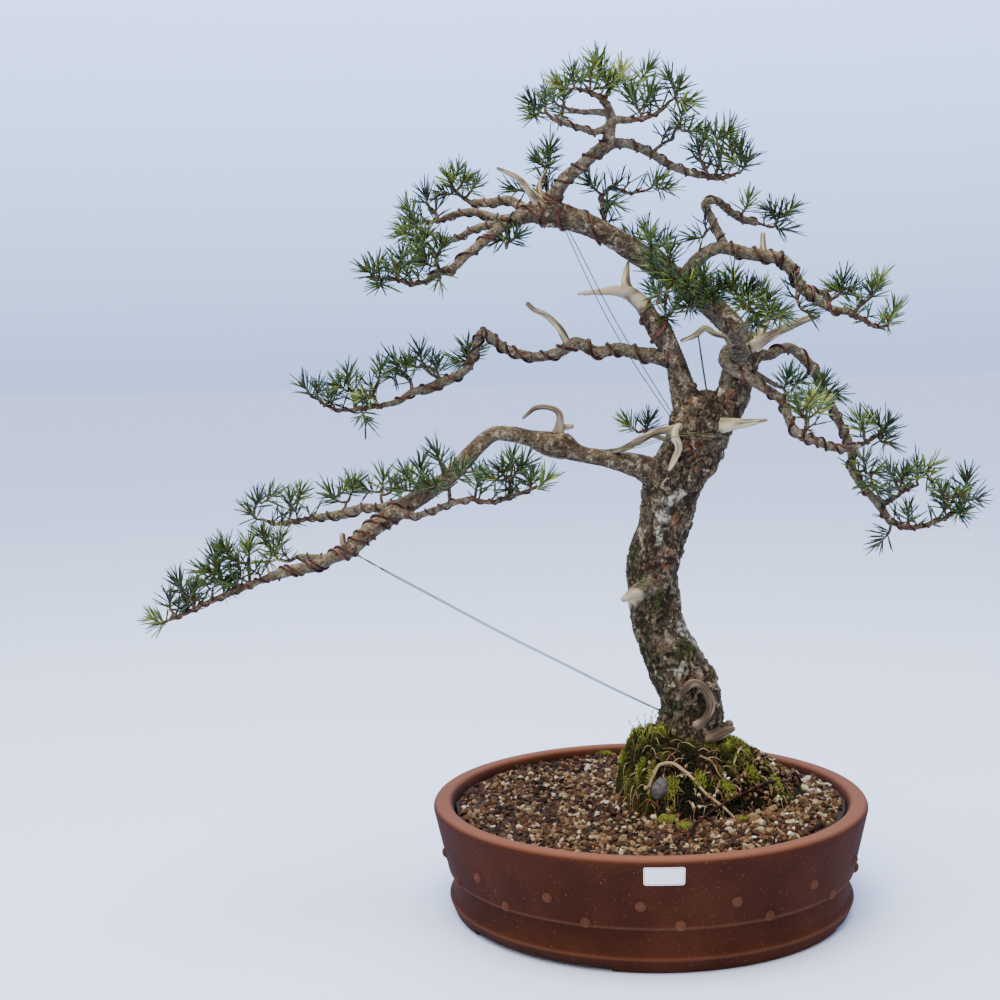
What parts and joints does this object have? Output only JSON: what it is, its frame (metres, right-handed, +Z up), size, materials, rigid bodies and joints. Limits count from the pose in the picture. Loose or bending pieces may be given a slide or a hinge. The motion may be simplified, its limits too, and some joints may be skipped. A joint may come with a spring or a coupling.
{
  "type": "scots pine bonsai",
  "caption": "Old, twin-leader pine bonsai with swept branches and deadwood, wired and guyed, on a moss mound in a round riveted drum pot of unglazed stoneware.",
  "frame": {"origin": "middle of the pot's underside, on the surface that the pot stands on", "axes": "+Z up, +X to the right as seen from the tree's front, +Y away from the front"},
  "size_m": [0.845, 0.439, 0.8544],
  "materials": {
    "stoneware": "unglazed, matt",
    "label_paper": "blank, satin",
    "akadama_gravel": "loose grains, matt",
    "moss": "soft cushions of moss",
    "slate": "rough, matt",
    "pine_bark": "flaky plated bark, with bleached deadwood",
    "rusty_wire": "rusted iron wire",
    "steel_wire": "dull",
    "copper_wire": "annealed copper, dull sheen",
    "pine_needles": "waxy blue-green"
  },
  "bodies": {
    "root": {"pot": "stoneware", "pot_label": "label_paper", "gravel_soil": "akadama_gravel", "moss_mound": "moss", "mound_stone": "slate", "tree_wood": "pine_bark", "tie_down_wire": "rusty_wire", "guy_wire_long": "steel_wire", "guy_wire_lower_limb": "steel_wire", "guy_wire_trunk": "steel_wire", "guy_wire_right": "steel_wire", "wire_left_leader": "copper_wire", "wire_lower_limb": "copper_wire", "wire_middle_limb": "copper_wire", "wire_upper_limb": "copper_wire", "wire_apex": "copper_wire", "wire_right_branch": "copper_wire", "wire_falling_branch": "copper_wire", "wire_outer_branch": "copper_wire", "spray_lower_limb_tip": "pine_needles", "spray_lower_limb_second": "pine_needles", "spray_upper_side_tip": "pine_needles", "spray_upper_side_middle": "pine_needles", "spray_upper_side_inner": "pine_needles", "spray_lower_limb_middle": "pine_needles", "spray_return_rise": "pine_needles", "spray_return_tip": "pine_needles", "spray_middle_limb_tip": "pine_needles", "spray_middle_limb_rise": "pine_needles", "spray_middle_limb_fork": "pine_needles", "spray_middle_limb_elbow": "pine_needles", "spray_upper_left_tip": "pine_needles", "spray_upper_left_rise": "pine_needles", "spray_upper_left_middle": "pine_needles", "spray_upper_left_low": "pine_needles", "spray_upper_left_top": "pine_needles", "spray_upper_left_hanging": "pine_needles", "spray_knot_tuft": "pine_needles", "spray_apex_left": "pine_needles", "spray_apex_back": "pine_needles", "spray_apex_top": "pine_needles", "spray_apex_right": "pine_needles", "spray_crown_rise": "pine_needles", "spray_crown_tip": "pine_needles", "spray_back_sprig": "pine_needles", "spray_right_branch_tip": "pine_needles", "spray_right_branch_pair": "pine_needles", "spray_right_upper_tip": "pine_needles", "spray_front_left": "pine_needles", "spray_front_right": "pine_needles", "spray_behind_leader": "pine_needles", "spray_limb_top": "pine_needles", "spray_third_twig": "pine_needles", "spray_falling_middle": "pine_needles", "spray_falling_tip": "pine_needles", "spray_outer_rise": "pine_needles", "spray_outer_middle": "pine_needles", "spray_outer_inner": "pine_needles", "spray_outer_tip": "pine_needles", "spray_small_back_tuft": "pine_needles"}
  },
  "joints": []
}
